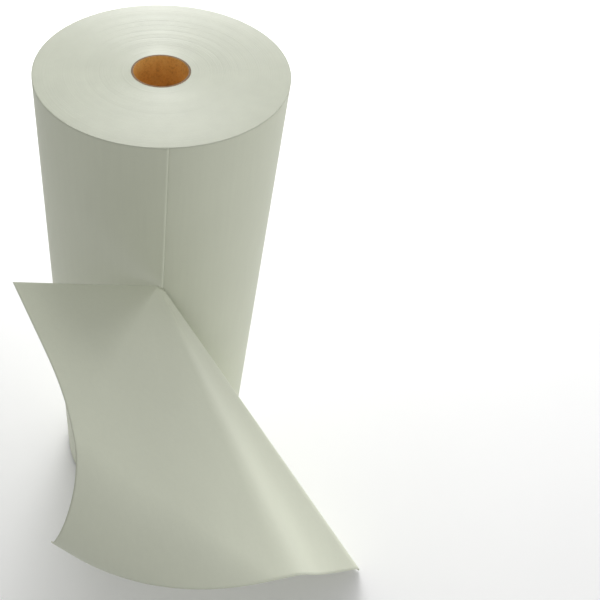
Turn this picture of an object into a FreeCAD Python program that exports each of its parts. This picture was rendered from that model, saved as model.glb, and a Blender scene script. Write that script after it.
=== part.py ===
import FreeCAD, Part
import math
import os
from FreeCAD import Rotation, Vector

# A perforated paper roll standing on its end. Millimetres and degrees. +Z is up along the core. The
# origin is on the core's axis in the plane of the lower end. The perforation that joins the last
# sheet to the roll faces the front, which is -Y.

# Roll
WEB_WIDTH = 600.0            # width of the paper, so also the core's length
ROLL_R = 117.5               # outside radius of the wound paper
PAPER = 0.3                  # thickness of one ply
SHEET_LENGTH = 277.5         # from one perforation line to the next

# Core
BORE_R = 25.4                # 2 inch bore
CORE_PLY = 0.6               # thickness of each of the three glued plies
TAPE_THICK = 0.2
TAPE_WIDTH = 25.0
TAPE_MARGIN = 15.0           # the tape stops this far short of both ends
TAPE_AZIMUTH = 40.0

# Packs of turns: outer radius, and how far the pack has crept up the core. The outer ones crept
# furthest, so the upper end is slightly dished and the roll stands on its core and inner turns.
PACKS = ((50.0, 0.0), (75.0, 0.7), (98.0, 1.4), (None, 2.0))
LOWER_EDGE = PACKS[-1][1]    # height of the outer paper's lower edge

# Outermost turns, as separate sheets between perforation lines
LOOSE_SHEETS = (2, 3, 4)     # numbered inwards from the free one
SEAM_AZIMUTH = -88.3         # the perforation between the free sheet and sheet 2
SEAM_LIFT = 1.2              # how far the ply's end stands off the turn below it
LIFT_ARC = 14.0              # angle over which it lifts
PERFORATION_GAP = 0.8        # between one sheet's end and the next
TEAR_HEIGHT = 434.5          # above the lower edge: the seam is torn from the top down to here

# Free sheet, bent along straight lines that fan out from two points: the end of the tear, and a
# point just above it on the torn edge. The lines' angles are measured in the flat sheet from the
# perforation line, 0 straight down, 180 straight up. A bend is its middle, half width and turn.
PANEL_HEADING = -17.0        # the way the panel leaves the perforation, from +X about +Z
FOLD_ANGLE = 33.8            # the fold line
FIRST_FAN_END = 36.45
FIRST_BENDS = ((FOLD_ANGLE, 6.6, 96.7),)
SECOND_POINT = 9.4           # distance of the second point along the torn edge
SECOND_BENDS = ((43.5, 14.3, -22.0), (70.1, 12.2, 26.1), (140.3, 19.0, 33.1))
FINE_STEP = 0.5              # angle between the lines that the sheet bends along
COARSE_STEP = 6              # every so many of them is a facet's edge
FAN_HOLE = 5.0               # the facets start this far from the point they share
HINGE_GAP = 0.4              # each side of the fold line

# Its outer upper corner curls down beyond a line across the corner, round a cylinder
CURL_ON_UPPER_EDGE = 126.5   # from the corner to the line, along the upper edge
CURL_ON_END = 226.8          # and along the sheet's end
CURL_TURN = 133.4            # from the line to the corner
CURL_STEPS = 12
CURL_TIP = 0.99              # the facets stop just short of the corner

CORE_R = BORE_R + 3 * CORE_PLY
FIRST_TURN_R = CORE_R + TAPE_THICK


def save(name, shape):
    """Write one node as a STEP file."""
    shape.exportStep("parts/" + name + ".step")


def tube(inner, outer, bottom, height):
    """A plain tube on the Z axis."""
    base = Vector(0, 0, bottom)
    return Part.makeCylinder(outer, height, base).cut(Part.makeCylinder(inner, height, base))


def build_core():
    """The three plies of the spiral-wound cardboard tube."""
    for index, name in enumerate(("inner", "middle", "outer")):
        inner = BORE_R + index * CORE_PLY
        save("core_" + name + "_ply", tube(inner, inner + CORE_PLY, 0, WEB_WIDTH))


def build_start_tape():
    """The strip that fastens the first turn of paper to the core."""
    ring = tube(CORE_R, FIRST_TURN_R, TAPE_MARGIN, WEB_WIDTH - 2 * TAPE_MARGIN)
    block = Part.makeBox(2 * FIRST_TURN_R, TAPE_WIDTH, WEB_WIDTH, Vector(0, -TAPE_WIDTH / 2, 0))
    block.rotate(Vector(), Vector(0, 0, 1), TAPE_AZIMUTH)
    save("core_start_tape", ring.common(block))


def turn_radius(winding):
    """Outside radius of the ply at an angle wound inwards from the seam."""
    lift = max(0.0, 1 - winding / LIFT_ARC)
    return ROLL_R - PAPER * winding / 360 + SEAM_LIFT * lift ** 2


def spiral_curve(first, last, depth):
    """A smooth curve along the spiral, depth below the ply's outer face."""
    steps = max(12, int((last - first) / 4))
    points = []
    for step in range(steps + 1):
        winding = first + (last - first) * step / steps
        azimuth = math.radians(SEAM_AZIMUTH - winding)
        radius = turn_radius(winding) - depth
        points.append(Vector(radius * math.cos(azimuth), radius * math.sin(azimuth), 0))
    curve = Part.BSplineCurve()
    curve.interpolate(points)
    return curve.toShape(), points[0], points[-1]


def build_wound_sheets():
    """The outermost turns as separate sheets; returns the winding angle where they end."""
    arc = math.degrees(SHEET_LENGTH / ROLL_R)
    gap = math.degrees(PERFORATION_GAP / ROLL_R)
    for index, number in enumerate(LOOSE_SHEETS):
        first = index * arc + gap / 2
        last = (index + 1) * arc - gap / 2
        outside, outside_start, outside_end = spiral_curve(first, last, 0)
        inside, inside_start, inside_end = spiral_curve(first, last, PAPER)
        ends = [Part.makeLine(outside_start, inside_start), Part.makeLine(outside_end, inside_end)]
        outline = Part.Wire(Part.__sortEdges__([outside, inside] + ends))
        outline.translate(Vector(0, 0, LOWER_EDGE))
        save("wound_sheet_" + str(number), Part.Face(outline).extrude(Vector(0, 0, WEB_WIDTH)))
    return len(LOOSE_SHEETS) * arc


def build_packs(last_winding):
    """The turns deeper in the roll, as packs that crept a little along the core."""
    inner = FIRST_TURN_R
    for number, (outer, creep) in enumerate(PACKS, 1):
        outer = outer or turn_radius(last_winding) - PAPER
        save("wound_turns_" + str(number), tube(inner, outer, creep, WEB_WIDTH))
        inner = outer


def bend_rate(angle, bends):
    """Turn per degree at this angle, from smooth bends given as middle, half width and turn."""
    rate = 0.0
    for middle, half_width, turn in bends:
        offset = (angle - middle) / half_width
        if abs(offset) < 1:
            rate += turn * (1 + math.cos(math.pi * offset)) / (2 * half_width)
    return rate


def fan_angles(first, last, extra):
    """Fine even steps, with the extra angles among them."""
    count = int(math.ceil((last - first) / FINE_STEP))
    angles = [first + (last - first) * index / count for index in range(count + 1)]
    return sorted(set(angles + [angle for angle in extra if first < angle < last]))


def line_angle(along, height, point_height):
    """Angle of the line from a point on the perforation to a place on the flat sheet."""
    return math.degrees(math.atan2(along, point_height - height))


def fan(direction, across, angles, bends, flat):
    """Rulings (angle, direction, across) of a sheet bent along lines that share one point."""
    rulings = [(angles[0], direction, across)]
    for first, second in zip(angles, angles[1:]):
        step = second - first
        middle = (first + second) / 2
        if not flat[0] < middle < flat[1]:
            across = Rotation(direction, bend_rate(middle, bends) * step).multVec(across)
        swing = Rotation(direction.cross(across), step)
        direction, across = swing.multVec(direction), swing.multVec(across)
        rulings.append((second, direction, across))
    return rulings


def edge_distance(angle, below):
    """Distance along a ruling to the flat sheet's outline, from a point this high on its edge."""
    sine = math.sin(math.radians(angle))
    cosine = math.cos(math.radians(angle))
    distances = []
    if sine > 1e-6:
        distances.append(SHEET_LENGTH / sine)
    if cosine > 1e-6:
        distances.append(below / cosine)
    if cosine < -1e-6:
        distances.append((WEB_WIDTH - below) / -cosine)
    return min(distances)


def thin_rectangle(near, far, normal):
    """Outline of a straight slice through the sheet."""
    half = normal * (PAPER / 2)
    return Part.makePolygon([near + half, far + half, far - half, near - half, near + half])


def section(point, ruling, below, shift=0.0):
    """Slice through the sheet along one ruling, moved sideways by shift."""
    angle, direction, across = ruling
    near = point + direction * FAN_HOLE + across * shift
    far = point + direction * edge_distance(angle, below) + across * shift
    return thin_rectangle(near, far, direction.cross(across))


def facet_edges(rulings, first, last, kept):
    """The rulings from first to last that are facet edges: every few, and the kept angles."""
    inside = [ruling for ruling in rulings if first <= ruling[0] <= last]
    return [ruling for index, ruling in enumerate(inside)
            if index % COARSE_STEP == 0 or ruling[0] in kept or ruling is inside[-1]]


def build_curl(upper, lower, normal, inward):
    """The curled corner beyond the line from its upper to its lower end."""
    span = (upper - lower).Length
    along = (lower - upper) / span
    outward = normal.cross(along)
    if outward.dot(inward) > 0:
        outward = -outward
    reach = CURL_ON_UPPER_EDGE * CURL_ON_END / span
    foot = CURL_ON_UPPER_EDGE ** 2 / span
    radius = reach / math.radians(CURL_TURN)
    sections = []
    for step in range(CURL_STEPS + 1):
        share = CURL_TIP * step / CURL_STEPS
        turn = math.radians(CURL_TURN * share)
        base = upper + outward * (radius * math.sin(turn)) + normal * (radius * (1 - math.cos(turn)))
        near = base + along * (foot * share)
        far = base + along * (span - (span - foot) * share)
        sections.append(thin_rectangle(near, far, normal * math.cos(turn) - outward * math.sin(turn)))
    return Part.makeLoft(sections, True, True)


def build_free_sheet():
    """The standing panel and the folded flap of the last sheet."""
    azimuth = math.radians(SEAM_AZIMUTH)
    radius = turn_radius(0) - PAPER / 2
    seam = Vector(radius * math.cos(azimuth), radius * math.sin(azimuth), LOWER_EDGE + TEAR_HEIGHT)
    heading = math.radians(PANEL_HEADING)
    above = TEAR_HEIGHT + SECOND_POINT
    low_corner = line_angle(SHEET_LENGTH, 0, TEAR_HEIGHT)
    flat = (line_angle(SHEET_LENGTH, WEB_WIDTH - CURL_ON_END, above),
            line_angle(SHEET_LENGTH - CURL_ON_UPPER_EDGE, WEB_WIDTH, above))
    first_fan = fan(Vector(0, 0, -1), Vector(math.cos(heading), math.sin(heading), 0),
                    fan_angles(0, FIRST_FAN_END, (low_corner, FOLD_ANGLE)), FIRST_BENDS, flat)
    panel = facet_edges(first_fan, 0, FOLD_ANGLE, (low_corner,))
    sections = [section(seam, ruling, TEAR_HEIGHT) for ruling in panel]
    sections[0] = section(seam, panel[0], TEAR_HEIGHT, PERFORATION_GAP / 2)
    sections[-1] = section(seam, panel[-1], TEAR_HEIGHT, -HINGE_GAP)
    save("free_sheet_panel", Part.makeLoft(sections, True, True))

    start = facet_edges(first_fan, FOLD_ANGLE, FIRST_FAN_END, ())
    sections = [section(seam, ruling, TEAR_HEIGHT) for ruling in start]
    sections[0] = section(seam, start[0], TEAR_HEIGHT, HINGE_GAP)
    angle, direction, across = first_fan[-1]
    torn_edge = Rotation(direction.cross(across), 180 - angle).multVec(direction)
    second = seam + torn_edge * SECOND_POINT
    second_fan = fan(direction, across, fan_angles(FIRST_FAN_END, 180, flat), SECOND_BENDS, flat)
    before = facet_edges(second_fan, FIRST_FAN_END, flat[0], ())
    after = facet_edges(second_fan, flat[1], 180, ())
    sections += [section(second, ruling, above) for ruling in before + after]
    flap = Part.makeLoft(sections, True, True)
    lower, upper = (second + ruling[1] * edge_distance(ruling[0], above)
                    for ruling in (before[-1], after[0]))
    normal = after[0][1].cross(after[0][2])
    curl = build_curl(upper, lower, normal, second - upper)
    save("free_sheet_flap", flap.fuse(curl).removeSplitter())


def main():
    os.makedirs("parts", exist_ok=True)
    build_core()
    build_start_tape()
    build_packs(build_wound_sheets())
    build_free_sheet()


main()
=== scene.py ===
import math
import random

import bmesh
import bpy
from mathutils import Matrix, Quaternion, Vector


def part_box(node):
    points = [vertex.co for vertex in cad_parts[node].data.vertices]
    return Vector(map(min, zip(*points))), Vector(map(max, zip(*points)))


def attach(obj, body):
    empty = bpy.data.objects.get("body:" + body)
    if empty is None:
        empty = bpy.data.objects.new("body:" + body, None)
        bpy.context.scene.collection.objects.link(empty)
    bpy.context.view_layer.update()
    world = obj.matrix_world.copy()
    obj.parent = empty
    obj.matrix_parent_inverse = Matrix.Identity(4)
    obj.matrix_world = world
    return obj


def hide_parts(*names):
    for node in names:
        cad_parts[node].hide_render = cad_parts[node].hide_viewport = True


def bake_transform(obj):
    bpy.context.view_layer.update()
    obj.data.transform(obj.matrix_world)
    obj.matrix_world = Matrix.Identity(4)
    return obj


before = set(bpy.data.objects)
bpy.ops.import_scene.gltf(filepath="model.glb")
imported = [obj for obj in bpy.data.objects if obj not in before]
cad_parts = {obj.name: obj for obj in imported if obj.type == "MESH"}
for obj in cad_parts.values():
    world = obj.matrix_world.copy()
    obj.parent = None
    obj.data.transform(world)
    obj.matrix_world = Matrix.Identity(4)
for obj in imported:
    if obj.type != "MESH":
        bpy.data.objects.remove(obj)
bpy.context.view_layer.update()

# A perforated paper roll standing on its end, with its last sheet part torn off and folded over.
# The paper's own lengths are millimetres, and MM turns them into the scene's metres. Lengths in the
# materials and of the stage are metres. Angles are degrees.
MM = 0.001

# Roll, as in the CAD part
WEB_WIDTH = 600.0
ROLL_R = 117.5
PAPER = 0.3
SHEET_LENGTH = 277.5
FIRST_TURN_R = 27.4
LOWER_EDGE = 2.0
SEAM_AZIMUTH = -88.3
SEAM_LIFT = 1.2
LIFT_ARC = 14.0
TEAR_HEIGHT = 434.5
LOOSE_SHEETS = (2, 3, 4)

# Free sheet, as in the CAD part
PANEL_HEADING = -17.0
FOLD_ANGLE = 33.8
FIRST_FAN_END = 36.45
FIRST_BENDS = ((FOLD_ANGLE, 6.6, 96.7),)
SECOND_POINT = 9.4
SECOND_BENDS = ((43.5, 14.3, -22.0), (70.1, 12.2, 26.1), (140.3, 19.0, 33.1))
FINE_STEP = 0.5
CURL_ON_UPPER_EDGE = 126.5
CURL_ON_END = 226.8
CURL_TURN = 133.4
SHEET_STEPS = 90             # faces along each line that the sheet bends along

# Perforation
TIE_PITCH = 6.0
TIE_HALF = 0.6               # half the height of the uncut bridge
TIE_ROWS = 3                 # rows of vertices to a tie: its lower end, middle and upper end
SLIT_HALF = 0.15             # half the width of the slit
NIB = (0.2, 0.45)            # how far the torn ties stick out
NIB_SEED = 11
CREASE_WIDTH = 1.2           # the torn edge is bent down towards the roll over this width
CREASE_DROP = 0.8
COLUMNS = 34                 # faces across each sheet

# Ends of the roll
PACK_NODES = ("wound_turns_1", "wound_turns_2", "wound_turns_3", "wound_turns_4")
UPPER_PITCH = 0.6            # two plies to a step
LOWER_PITCH = 1.2            # four plies to a step
WANDER_TURNS = 7             # turns over which the level of the edges wanders
WANDER_DEPTH = 0.08
SCATTER_DEPTH = 0.05         # scatter from one turn to the next
PLY_TOP = 0.85               # part of each step that is flat; the rest is the drop to the next
TURN_SEGMENTS = 144
LOWER_SEED = 5
UPPER_SEED = 3

# Stage. Each light is its azimuth from +X about +Z, its elevation, and its power in watts.
LIGHTS = ((110, 15, 9), (90, 35, 20), (75, 15, 24), (50, 20, 6), (-25, 10, 8))
LIGHT_SIZE = 1.3
LIGHT_DISTANCE = 2.2
LIGHT_AIM = 0.3              # the height that they face
WORLD_STRENGTH = 0.45
FLOOR_REACH = 6.0            # from the middle to each side
CAMERA_PLACE = (-0.0269, -0.6479, 1.0009)
CAMERA_TILT = 42.37          # from straight down
CAMERA_LENS = 48.36          # millimetres, on a sensor of this width
CAMERA_SENSOR = 36
CAMERA_SHIFT = 0.281         # moves the roll to the left of the picture

# Colours
PAPER_COLOUR = (0.640, 0.665, 0.540)
END_COLOUR = (0.575, 0.605, 0.475)
BOARD_SHADED_END = 0.7         # a face whose normal is at least this far along Z is an end face of the core, which gets painted shade

# Limits of the mesh work
MERGE_DISTANCE = 1e-6        # metres; vertices closer than this become one
SHORTEST_EDGE = 1e-7         # metres
NEARLY_ZERO = 1e-6           # of a sine or cosine

# Sockets of a Mix node that mixes colours
MIX_FIRST = 6
MIX_SECOND = 7
MIX_RESULT = 2


# ---------------------------------------------------------------- materials

class Nodes:
    """A short way to write a material's node tree."""

    def __init__(self, name):
        self.material = bpy.data.materials.new(name)
        self.material.use_nodes = True
        self.tree = self.material.node_tree
        self.tree.nodes.clear()
        output = self.tree.nodes.new("ShaderNodeOutputMaterial")
        self.shader = self.add("BsdfPrincipled")
        self.link(self.shader.outputs[0], output.inputs["Surface"])

    def add(self, kind, **settings):
        node = self.tree.nodes.new("ShaderNode" + kind)
        for key, value in settings.items():
            setattr(node, key, value)
        return node

    def link(self, source, target):
        self.tree.links.new(source, target)

    def place(self, stretch=(1, 1, 1)):
        """Coordinates in metres, stretched."""
        coordinates = self.add("TexCoord")
        mapping = self.add("Mapping")
        mapping.inputs["Scale"].default_value = stretch
        self.link(coordinates.outputs["Object"], mapping.inputs["Vector"])
        return mapping.outputs["Vector"]

    def noise(self, vector, scale, detail=4.0, roughness=0.55):
        node = self.add("TexNoise")
        node.inputs["Scale"].default_value = scale
        node.inputs["Detail"].default_value = detail
        node.inputs["Roughness"].default_value = roughness
        self.link(vector, node.inputs["Vector"])
        return node.outputs["Fac"]

    def math(self, operation, first, second):
        node = self.add("Math", operation=operation)
        for socket, value in zip(node.inputs, (first, second)):
            if isinstance(value, (int, float)):
                socket.default_value = value
            else:
                self.link(value, socket)
        return node.outputs[0]

    def weighted(self, *parts):
        """Weighted sum of values, given as value, weight, value, weight."""
        total = self.math("MULTIPLY", parts[0], parts[1])
        for value, weight in zip(parts[2::2], parts[3::2]):
            total = self.math("ADD", total, self.math("MULTIPLY", value, weight))
        return total

    def ramp(self, value, stops):
        node = self.add("ValToRGB")
        elements = node.color_ramp.elements
        while len(elements) < len(stops):
            elements.new(0.5)
        for element, (position, colour) in zip(elements, stops):
            element.position = position
            element.color = (*colour, 1)
        self.link(value, node.inputs["Fac"])
        return node.outputs["Color"]

    def colour(self, source):
        self.link(source, self.shader.inputs["Base Color"])

    def rough(self, value, low, high):
        """Roughness from low to high as the value goes through its usual range."""
        node = self.add("MapRange")
        for key, number in (("From Min", 0.3), ("From Max", 0.7), ("To Min", low), ("To Max", high)):
            node.inputs[key].default_value = number
        self.link(value, node.inputs["Value"])
        self.link(node.outputs["Result"], self.shader.inputs["Roughness"])

    def bump(self, height, distance):
        node = self.add("Bump")
        node.inputs["Distance"].default_value = distance
        self.link(height, node.inputs["Height"])
        self.link(node.outputs["Normal"], self.shader.inputs["Normal"])


def tint(colour, factor):
    """The colour, darker or lighter."""
    return tuple(channel * factor for channel in colour)


def paper_material(name):
    """Smooth uncoated paper: soft clouding, fine fibres, faint streaks along the web."""
    paper = Nodes(name)
    cloud = paper.noise(paper.place(), 9.0, 3.0)
    fibres = paper.noise(paper.place(), 900.0, 5.0, 0.65)
    streaks = paper.noise(paper.place((1, 1, 0.08)), 260.0, 3.0)
    mixed = paper.weighted(cloud, 0.5, fibres, 0.3, streaks, 0.2)
    stops = ((0.35, tint(PAPER_COLOUR, 0.965)), (0.65, tint(PAPER_COLOUR, 1.03)))
    paper.colour(paper.ramp(mixed, stops))
    paper.rough(fibres, 0.52, 0.66)
    paper.bump(fibres, 0.00004)
    paper.shader.inputs["Specular IOR Level"].default_value = 0.35
    return paper.material


def end_material():
    """Cut edges of the turns, which catch the light across their length."""
    edges = Nodes("roll_end")
    cloud = edges.noise(edges.place(), 40.0, 3.0)
    grit = edges.noise(edges.place(), 1400.0, 4.0, 0.6)
    mixed = edges.weighted(cloud, 0.55, grit, 0.45)
    stops = ((0.33, tint(END_COLOUR, 0.95)), (0.67, tint(END_COLOUR, 1.04)))
    edges.colour(edges.ramp(mixed, stops))
    edges.rough(grit, 0.40, 0.55)
    edges.bump(grit, 0.00004)
    tangent = edges.add("Tangent", direction_type="RADIAL", axis="Z")
    edges.link(tangent.outputs[0], edges.shader.inputs["Tangent"])
    edges.shader.inputs["Anisotropic"].default_value = 0.75
    return edges.material


def board_material():
    """Kraft board: brown with darker flecks, and painted shade on its end faces, which are coloured
    much darker.
    """
    board = Nodes("core_board")
    flecks = board.noise(board.place(), 420.0, 6.0, 0.7)
    patches = board.noise(board.place(), 60.0, 3.0)
    mixed = board.weighted(flecks, 0.6, patches, 0.4)
    wall = board.ramp(mixed, ((0.32, (0.55, 0.28, 0.065)), (0.5, (0.86, 0.50, 0.135)),
                              (0.68, (0.92, 0.60, 0.20))))
    # painted shade: a near-black brown for the core's end faces, standing in for the shade on them,
    # not a darker board
    painted_shade_end_colour = board.ramp(mixed, ((0.32, (0.13, 0.065, 0.02)), (0.68, (0.30, 0.17, 0.06))))
    surface = board.add("NewGeometry")
    split = board.add("SeparateXYZ")
    board.link(surface.outputs["Normal"], split.inputs[0])
    levelness = board.math("ABSOLUTE", split.outputs["Z"], 0.0)
    painted_shade_mask = board.math("GREATER_THAN", levelness, BOARD_SHADED_END)
    # painted shade goes on the faces that point along Z
    mix = board.add("Mix", data_type="RGBA")
    board.link(painted_shade_mask, mix.inputs["Factor"])
    board.link(wall, mix.inputs[MIX_FIRST])
    board.link(painted_shade_end_colour, mix.inputs[MIX_SECOND])
    board.colour(mix.outputs[MIX_RESULT])
    board.rough(flecks, 0.62, 0.82)
    board.bump(flecks, 0.0002)
    return board.material


def tape_material():
    """Thin tan tape between the core and the first turn."""
    tape = Nodes("start_tape")
    grain = tape.noise(tape.place(), 600.0, 4.0)
    tape.colour(tape.ramp(grain, ((0.35, (0.56, 0.48, 0.30)), (0.65, (0.66, 0.58, 0.38)))))
    tape.rough(grain, 0.4, 0.55)
    tape.bump(grain, 0.00003)
    return tape.material


def floor_material():
    """Matt and almost white, with a very faint clouding."""
    floor = Nodes("floor")
    grain = floor.noise(floor.place(), 3.0)
    floor.colour(floor.ramp(grain, ((0.3, (0.94, 0.94, 0.94)), (0.7, (0.96, 0.96, 0.96)))))
    floor.rough(grain, 0.85, 0.95)
    return floor.material


# ---------------------------------------------------------------- mesh helpers

def new_piece(name, material, vertices, faces, smooth=True):
    """A piece from vertices in millimetres."""
    mesh = bpy.data.meshes.new(name)
    mesh.from_pydata([Vector(vertex) * MM for vertex in vertices], [], faces)
    mesh.materials.append(material)
    build = bmesh.new()
    build.from_mesh(mesh)
    bmesh.ops.remove_doubles(build, verts=build.verts, dist=MERGE_DISTANCE)
    bmesh.ops.dissolve_degenerate(build, edges=build.edges, dist=SHORTEST_EDGE)
    bmesh.ops.recalc_face_normals(build, faces=build.faces)
    for face in build.faces:
        face.smooth = smooth
    build.to_mesh(mesh)
    build.free()
    piece = bpy.data.objects.new(name, mesh)
    bpy.context.scene.collection.objects.link(piece)
    return piece


def thicken(piece, offset):
    """Give a surface the paper's thickness; offset -1 puts it all behind the surface."""
    solidify = piece.modifiers.new("thickness", "SOLIDIFY")
    solidify.thickness = PAPER * MM
    solidify.offset = offset
    with bpy.context.temp_override(object=piece, active_object=piece):
        bpy.ops.object.modifier_apply(modifier=solidify.name)


def quads_between(first, second):
    """Faces between two equally long rows of vertex numbers."""
    return [(first[index], first[index + 1], second[index + 1], second[index])
            for index in range(len(first) - 1)]


def tie_heights(low, high):
    """Middles of the ties between two heights along the perforation."""
    first = math.ceil(low / TIE_PITCH - 0.5)
    heights = []
    while (first + 0.5) * TIE_PITCH < high:
        heights.append((first + 0.5) * TIE_PITCH)
        first += 1
    return [height for height in heights if low + TIE_HALF < height < high - TIE_HALF]


# ---------------------------------------------------------------- turns of the roll

def edge_depths(count, seed):
    """How deep each turn's edge lies: a slow wander with a little scatter on top."""
    rng = random.Random(seed)
    wander = [rng.uniform(0, 1) for _ in range(count // WANDER_TURNS + 3)]
    depths = []
    for turn in range(count):
        left, share = divmod(turn / WANDER_TURNS, 1)
        smooth = wander[int(left)] * (1 - share) + wander[int(left) + 1] * share
        depths.append(WANDER_DEPTH * smooth + SCATTER_DEPTH * rng.uniform(0, 1))
    return depths


def end_level(radius, side):
    """Level of the dished end at this radius: side 1 is the upper end and 0 the lower."""
    inner = FIRST_TURN_R
    levels = []
    for node in PACK_NODES:
        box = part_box(node)
        outer = box[1][0] / MM
        levels.append(((inner + outer) / 2, box[side][2] / MM))
        inner = outer
    if radius <= levels[0][0]:
        return levels[0][1]
    for (near, low), (far, high) in zip(levels, levels[1:]):
        if radius <= far:
            return low + (high - low) * (radius - near) / (far - near)
    return levels[-1][1]


def end_rings(side, outer, pitch, seed):
    """Rings of vertices over one end: a spiral of steps from the bore to the outside."""
    inner = FIRST_TURN_R
    count = int(round((outer - inner) / pitch))
    step = (outer - inner) / count
    depths = edge_depths(count + 3, seed)
    rings = []
    for turn in range(-1, count + 1):
        level = end_level(inner + (turn + 0.5) * step, side)
        for edge in (0.0, PLY_TOP):
            ring = []
            for index in range(TURN_SEGMENTS + 1):
                share = index / TURN_SEGMENTS
                radius = min(outer, max(inner, inner + (turn + edge + share) * step))
                depth = depths[turn + 1] * (1 - share) + depths[turn + 2] * share
                angle = 2 * math.pi * share
                ring.append((radius * math.cos(angle), radius * math.sin(angle),
                             level - depth if side else level + depth))
            rings.append(ring)
    return rings


def build_turns(material):
    """All the turns between the core's tape and the outer sheets, as one web."""
    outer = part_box(PACK_NODES[-1])[1][0] / MM
    lower = end_rings(0, outer, LOWER_PITCH, LOWER_SEED)
    rings = lower[::-1] + end_rings(1, outer, UPPER_PITCH, UPPER_SEED)
    width = TURN_SEGMENTS + 1
    rows = [range(number * width, (number + 1) * width) for number in range(len(rings))]
    faces = []
    for first, second in zip(rows, rows[1:] + rows[:1]):
        faces += quads_between(first, second)
    vertices = [vertex for ring in rings for vertex in ring]
    web = new_piece("wound_web", material, vertices, faces, smooth=False)
    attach(web, "roll")
    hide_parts(*PACK_NODES)


# ---------------------------------------------------------------- outer turns

def turn_radius(winding):
    """Outside radius of the ply at an angle wound inwards from the seam."""
    lift = max(0.0, 1 - winding / LIFT_ARC)
    return ROLL_R - PAPER * winding / 360 + SEAM_LIFT * lift ** 2


def turn_point(winding, height, droop):
    """A place on the outer turns' face, pressed in by the droop."""
    angle = math.radians(SEAM_AZIMUTH - winding)
    radius = turn_radius(winding) - droop
    return (radius * math.cos(angle), radius * math.sin(angle), LOWER_EDGE + height)


def build_outer_turns(material):
    """The outermost turns: one web with a perforation line between each sheet and the next."""
    rng = random.Random(NIB_SEED)
    arc = math.degrees(SHEET_LENGTH / ROLL_R)
    slit = math.degrees(SLIT_HALF / ROLL_R)
    crease = math.degrees(CREASE_WIDTH / ROLL_R)
    bent_edge = [0.0, crease / 2, crease]
    windings = list(bent_edge)
    for index in range(len(LOOSE_SHEETS)):
        first = index * arc + (slit if index else 2 * crease)
        last = (index + 1) * arc - slit
        windings += [first + (last - first) * column / COLUMNS for column in range(COLUMNS + 1)]
    perforations = [len(bent_edge) - 1 + (COLUMNS + 1) * index
                    for index in range(1, len(LOOSE_SHEETS))]
    heights = [0.0]
    for tie in tie_heights(0, WEB_WIDTH):
        heights += [tie - TIE_HALF, tie, tie + TIE_HALF]
    heights.append(WEB_WIDTH)
    vertices, rows = [], []
    for number, height in enumerate(heights):
        rows.append(range(len(vertices), len(vertices) + len(windings)))
        torn = height > TEAR_HEIGHT
        tie_middle = number % TIE_ROWS == 2
        edge = -math.degrees(rng.uniform(*NIB) / ROLL_R) if torn and tie_middle else 0.0
        for winding in windings:
            droop = CREASE_DROP * max(0.0, 1 - winding / crease) if torn else 0.0
            vertices.append(turn_point(winding or edge, height, droop))
    faces = []
    for number, (low, high) in enumerate(zip(rows, rows[1:])):
        slit_open = number % TIE_ROWS == 0
        for column in range(len(windings) - 1):
            if not (slit_open and column in perforations):
                faces.append((low[column], low[column + 1], high[column + 1], high[column]))
    turns = new_piece("outer_turns", material, vertices, faces)
    thicken(turns, -1)
    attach(turns, "roll")
    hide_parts(*("wound_sheet_%d" % number for number in LOOSE_SHEETS))


# ---------------------------------------------------------------- free sheet

def turned(vector, axis, degrees):
    """The vector, turned about the axis."""
    return Quaternion(axis, math.radians(degrees)) @ vector


def bend_rate(angle, bends):
    """Turn per degree at this angle, from smooth bends given as middle, half width and turn."""
    rate = 0.0
    for middle, half_width, turn in bends:
        offset = (angle - middle) / half_width
        if abs(offset) < 1:
            rate += turn * (1 + math.cos(math.pi * offset)) / (2 * half_width)
    return rate


def fan_angles(first, last, extra):
    """Fine even steps, with the extra angles among them."""
    count = int(math.ceil((last - first) / FINE_STEP))
    angles = [first + (last - first) * index / count for index in range(count + 1)]
    return sorted(set(angles + [angle for angle in extra if first < angle < last]))


def line_angle(along, height, point_height):
    """Angle of the line from a point on the perforation to a place on the flat sheet."""
    return math.degrees(math.atan2(along, point_height - height))


def fan(direction, across, angles, bends, flat):
    """Rulings (angle, direction, across) of a sheet bent along lines that share one point."""
    rulings = [(angles[0], direction, across)]
    for first, second in zip(angles, angles[1:]):
        step = second - first
        middle = (first + second) / 2
        if not flat[0] < middle < flat[1]:
            across = turned(across, direction, bend_rate(middle, bends) * step)
        normal = direction.cross(across)
        direction, across = turned(direction, normal, step), turned(across, normal, step)
        rulings.append((second, direction, across))
    return rulings


def edge_distance(angle, below):
    """Distance along a ruling to the flat sheet's outline, from a point this high on its edge."""
    sine = math.sin(math.radians(angle))
    cosine = math.cos(math.radians(angle))
    distances = []
    if sine > NEARLY_ZERO:
        distances.append(SHEET_LENGTH / sine)
    if cosine > NEARLY_ZERO:
        distances.append(below / cosine)
    if cosine < -NEARLY_ZERO:
        distances.append((WEB_WIDTH - below) / -cosine)
    return min(distances)


def sheet_rulings(flat):
    """The lines that the free sheet bends along, as point, ruling, height of the point."""
    azimuth = math.radians(SEAM_AZIMUTH)
    radius = turn_radius(0) - PAPER / 2
    seam = Vector((radius * math.cos(azimuth), radius * math.sin(azimuth), LOWER_EDGE + TEAR_HEIGHT))
    heading = math.radians(PANEL_HEADING)
    above = TEAR_HEIGHT + SECOND_POINT
    low_corner = line_angle(SHEET_LENGTH, 0, TEAR_HEIGHT)
    high_corner = line_angle(SHEET_LENGTH, WEB_WIDTH, above)
    first_fan = fan(Vector((0, 0, -1)), Vector((math.cos(heading), math.sin(heading), 0)),
                    fan_angles(0, FIRST_FAN_END, (low_corner, FOLD_ANGLE)), FIRST_BENDS, flat)
    angle, direction, across = first_fan[-1]
    torn_edge = turned(direction, direction.cross(across), 180 - angle)
    second = seam + torn_edge * SECOND_POINT
    second_fan = fan(direction, across, fan_angles(FIRST_FAN_END, 180, flat + (high_corner,)),
                     SECOND_BENDS, flat)
    return ([(seam, ruling, TEAR_HEIGHT) for ruling in first_fan]
            + [(second, ruling, above) for ruling in second_fan])


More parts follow.
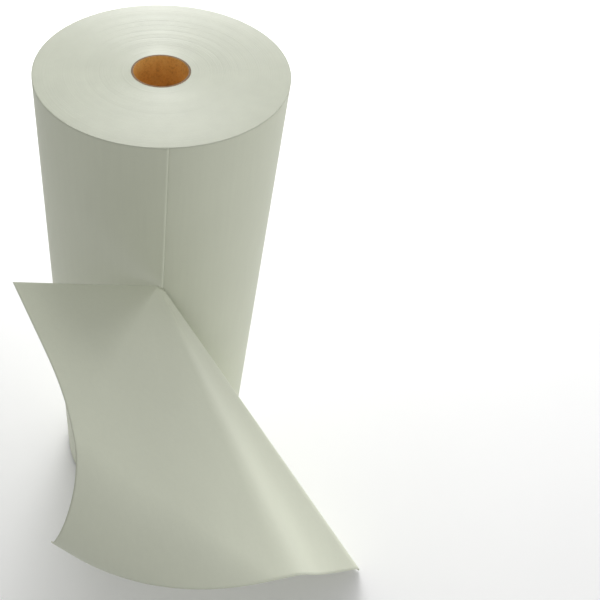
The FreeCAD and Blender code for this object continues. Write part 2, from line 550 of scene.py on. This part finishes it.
def curl_frame(rulings, flat):
    """The line that the corner curls beyond: its upper end, and unit vectors across and off it."""
    ends = {ruling[0]: point + ruling[1] * edge_distance(ruling[0], below)
            for point, ruling, below in rulings if ruling[0] in flat}
    lower, upper = ends[flat[0]], ends[flat[1]]
    point, ruling = next((point, ruling) for point, ruling, _ in rulings if ruling[0] == flat[1])
    normal = ruling[1].cross(ruling[2])
    outward = normal.cross(lower - upper).normalized()
    if outward.dot(point - upper) > 0:
        outward.negate()
    return upper, outward, normal


def curled(place, curl, radius):
    """Where a place on the flat part goes when what is beyond the line rolls round a cylinder."""
    upper, outward, normal = curl
    beyond = (place - upper).dot(outward)
    if beyond <= 0:
        return place
    turn = beyond / radius
    return (place + outward * (radius * math.sin(turn) - beyond)
            + normal * (radius * (1 - math.cos(turn))))


def build_free_sheet(material):
    """The last sheet: a standing panel below the tear, folded over, with one corner curled."""
    above = TEAR_HEIGHT + SECOND_POINT
    flat = (line_angle(SHEET_LENGTH, WEB_WIDTH - CURL_ON_END, above),
            line_angle(SHEET_LENGTH - CURL_ON_UPPER_EDGE, WEB_WIDTH, above))
    rulings = sheet_rulings(flat)
    curl = curl_frame(rulings, flat)
    reach = CURL_ON_UPPER_EDGE * CURL_ON_END / math.hypot(CURL_ON_UPPER_EDGE, CURL_ON_END)
    radius = reach / math.radians(CURL_TURN)
    vertices, rows = [], []
    for point, (angle, direction, across), below in rulings:
        rows.append(range(len(vertices), len(vertices) + SHEET_STEPS + 1))
        length = edge_distance(angle, below)
        row = [point + direction * (length * index / SHEET_STEPS)
               for index in range(SHEET_STEPS + 1)]
        if flat[0] < angle < flat[1]:
            row = [curled(place, curl, radius) for place in row]
        vertices += row
    faces = []
    for first, second in zip(rows, rows[1:]):
        faces += quads_between(first, second)
    sheet = new_piece("free_sheet", material, vertices, faces)
    thicken(sheet, 0)
    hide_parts("free_sheet_panel", "free_sheet_flap")
    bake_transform(sheet)


# ---------------------------------------------------------------- stage

def soft_light(azimuth, elevation, power):
    """A soft round light that faces the middle of the roll."""
    name = "light_%d_%d" % (azimuth, elevation)
    data = bpy.data.lights.new(name, "AREA")
    data.shape = "DISK"
    data.size = LIGHT_SIZE
    data.energy = power
    light = bpy.data.objects.new(name, data)
    around, up = math.radians(azimuth), math.radians(elevation)
    away = Vector((math.cos(up) * math.cos(around), math.cos(up) * math.sin(around), math.sin(up)))
    light.location = Vector((0, 0, LIGHT_AIM)) + away * LIGHT_DISTANCE
    light.rotation_mode = "QUATERNION"
    light.rotation_quaternion = away.to_track_quat("Z", "Y")
    bpy.context.scene.collection.objects.link(light)


def build_floor():
    """A wide square floor."""
    mesh = bpy.data.meshes.new("floor")
    corners = [(-1, -1), (1, -1), (1, 1), (-1, 1)]
    mesh.from_pydata([(x * FLOOR_REACH, y * FLOOR_REACH, 0) for x, y in corners], [], [(0, 1, 2, 3)])
    mesh.materials.append(floor_material())
    floor = bpy.data.objects.new("floor", mesh)
    bpy.context.scene.collection.objects.link(floor)


def build_lights():
    """A white surround, and soft lights mostly from behind and the right."""
    world = bpy.data.worlds.new("studio")
    world.use_nodes = True
    background = world.node_tree.nodes["Background"]
    background.inputs["Color"].default_value = (1, 1, 1, 1)
    background.inputs["Strength"].default_value = WORLD_STRENGTH
    bpy.context.scene.world = world
    for azimuth, elevation, power in LIGHTS:
        soft_light(azimuth, elevation, power)


def build_camera():
    """The camera looks down at the roll from the front."""
    data = bpy.data.cameras.new("camera")
    data.sensor_width = CAMERA_SENSOR
    data.lens = CAMERA_LENS
    data.shift_x = CAMERA_SHIFT
    camera = bpy.data.objects.new("camera", data)
    camera.location = CAMERA_PLACE
    camera.rotation_euler = (math.radians(CAMERA_TILT), 0, 0)
    bpy.context.scene.collection.objects.link(camera)
    bpy.context.scene.camera = camera
    bpy.context.scene.view_settings.view_transform = "Standard"


def dress(node, material):
    """Give a CAD node its material."""
    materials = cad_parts[node].data.materials
    materials.clear()
    materials.append(material)


def main():
    board = board_material()
    for node in ("core_inner_ply", "core_middle_ply", "core_outer_ply"):
        dress(node, board)
    dress("core_start_tape", tape_material())
    build_turns(end_material())
    build_outer_turns(paper_material("wound_paper"))
    build_free_sheet(paper_material("free_paper"))
    build_floor()
    build_lights()
    build_camera()


main()
